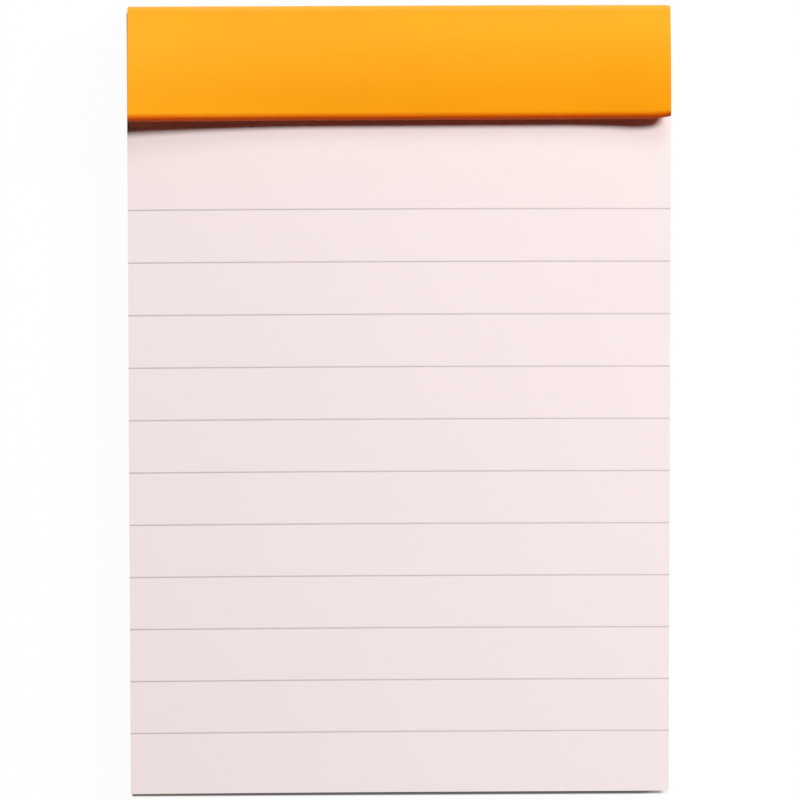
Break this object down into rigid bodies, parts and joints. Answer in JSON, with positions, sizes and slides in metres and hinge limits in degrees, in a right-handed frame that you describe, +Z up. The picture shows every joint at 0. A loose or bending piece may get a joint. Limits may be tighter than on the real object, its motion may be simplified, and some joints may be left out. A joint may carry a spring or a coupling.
{
  "type": "notepad",
  "caption": "Small head-stapled notepad lying open: ruled sheets on a stiff board, with an orange card cover rolled back over the head and folded under the pad.",
  "frame": {"origin": "under the middle of the pad, on the surface that it lies on", "axes": "+X across the pad, +Y along it towards the stapled head, +Z up out of the writing face"},
  "size_m": [0.083, 0.121, 0.0154],
  "materials": {
    "sheets": "smooth uncoated",
    "board": "rough grey board",
    "cover": "satin coated",
    "wire": "zinc plated"
  },
  "bodies": {
    "pad": {"paper_block": "sheets", "back_board": "board", "cover_wrap": "cover", "staples": "wire"},
    "cover": {"cover_panel": "cover"}
  },
  "joints": [
    {"name": "cover_hinge", "type": "hinge", "parent": "pad", "child": "cover", "pos_m": [0, 0.05945, -0.0001], "axis": [1, 0, 0], "range_deg": [0, 180]}
  ]
}
